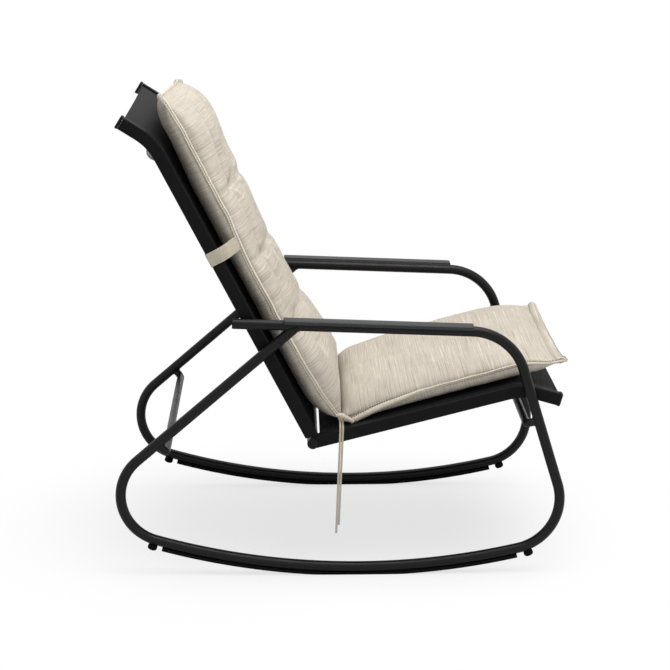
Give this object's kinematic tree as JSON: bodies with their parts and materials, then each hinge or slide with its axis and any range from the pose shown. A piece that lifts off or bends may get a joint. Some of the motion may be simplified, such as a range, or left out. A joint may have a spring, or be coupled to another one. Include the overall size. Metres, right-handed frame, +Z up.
{
  "type": "outdoor rocking chair",
  "caption": "Outdoor rocking chair with bent-tube side frames on curved rockers, a sling seat and back, flat arm pads and a loose tufted cushion.",
  "frame": {"origin": "centre of the bounding box, at floor level under the rockers", "axes": "+X to the front of the chair, +Y to the sitter's left, +Z up"},
  "size_m": [0.9022, 0.6378, 0.9662],
  "materials": {
    "frame": "black powder coat, satin",
    "rail": "black powder coat, satin",
    "arm_pad": "dark grey, fine satin",
    "trim_plastic": "black, moulded",
    "rubber": "black, matt",
    "sling": "dark grey woven mesh",
    "spline_plastic": "plain",
    "fastener_steel": "zinc plated",
    "cushion": "beige linen-look weave",
    "webbing": "beige woven band"
  },
  "bodies": {
    "root": {"arm_pad_left": "arm_pad", "arm_pad_right": "arm_pad", "arm_plug_left": "trim_plastic", "arm_plug_right": "trim_plastic", "back_cushion": "cushion", "back_rail_cap_left": "trim_plastic", "back_rail_cap_right": "trim_plastic", "back_rail_left": "rail", "back_rail_right": "rail", "back_sling": "sling", "back_sling_rod_left": "spline_plastic", "back_sling_rod_right": "spline_plastic", "back_spreader": "frame", "cross_tube_plug_left": "trim_plastic", "cross_tube_plug_right": "trim_plastic", "cushion_strap": "webbing", "cushion_tie_long": "webbing", "cushion_tie_short": "webbing", "frame_bolt_back_left": "fastener_steel", "frame_bolt_back_right": "fastener_steel", "frame_bolt_seat_left": "fastener_steel", "frame_bolt_seat_right": "fastener_steel", "front_crossbar": "frame", "rear_crossbar": "frame", "rocker_stop_front_left": "rubber", "rocker_stop_front_right": "rubber", "rocker_stop_rear_left": "rubber", "rocker_stop_rear_right": "rubber", "rocker_strip_left": "rubber", "rocker_strip_right": "rubber", "seat_back_cross_tube": "frame", "seat_cushion": "cushion", "seat_rail_cap_left": "trim_plastic", "seat_rail_cap_right": "trim_plastic", "seat_rail_left": "rail", "seat_rail_right": "rail", "seat_sling": "sling", "seat_sling_rod_left": "spline_plastic", "seat_sling_rod_right": "spline_plastic", "side_frame_left": "frame", "side_frame_right": "frame", "spacer_washer_back_left": "trim_plastic", "spacer_washer_back_right": "trim_plastic", "spacer_washer_seat_left": "trim_plastic", "spacer_washer_seat_right": "trim_plastic", "threaded_insert_back_left": "fastener_steel", "threaded_insert_back_right": "fastener_steel", "threaded_insert_seat_left": "fastener_steel", "threaded_insert_seat_right": "fastener_steel"}
  },
  "joints": []
}
